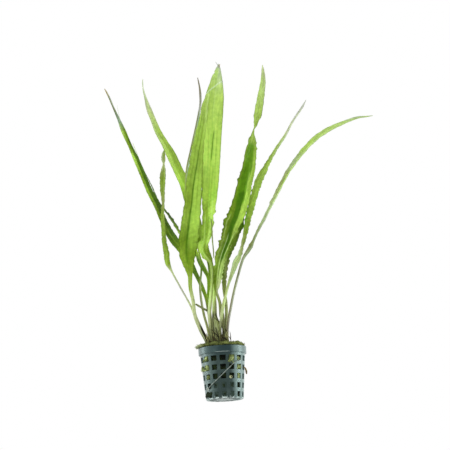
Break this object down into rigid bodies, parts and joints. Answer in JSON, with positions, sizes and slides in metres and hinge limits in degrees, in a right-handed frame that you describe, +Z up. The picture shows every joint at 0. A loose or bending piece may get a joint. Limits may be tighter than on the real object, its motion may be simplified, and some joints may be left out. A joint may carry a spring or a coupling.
{
  "type": "potted cryptocoryne",
  "caption": "Aquarium plant with long narrow ruffled leaves on slim stalks, growing out of mineral wool in a small dark net pot.",
  "frame": {"origin": "centre of the pot's flat base, on the surface it stands on", "axes": "+Z up out of the pot, -Y the side the picture shows, +X to its right"},
  "size_m": [0.2849, 0.1001, 0.3611],
  "materials": {
    "pot_plastic": "satin moulded polypropylene",
    "wool_fibre": "matt fibrous, green with algae",
    "fresh_leaf": "waxy, half glossy",
    "dry_leaf": "dry and matt",
    "pale_root": "matt",
    "brown_root": "dry and matt"
  },
  "bodies": {
    "root": {"cut_root": "pale_root", "dead_stalk": "dry_leaf", "leaf_arching_left": "fresh_leaf", "leaf_arching_right": "fresh_leaf", "leaf_broad_front": "fresh_leaf", "leaf_dried": "dry_leaf", "leaf_edge_on_left": "fresh_leaf", "leaf_low_left": "fresh_leaf", "leaf_narrow_right": "fresh_leaf", "leaf_outer_left": "fresh_leaf", "leaf_short_right": "fresh_leaf", "leaf_tallest": "fresh_leaf", "leaf_twisted_right": "fresh_leaf", "net_pot": "pot_plastic", "root_across_front": "pale_root", "root_dry_tip": "brown_root", "wool_plug": "wool_fibre"}
  },
  "joints": []
}
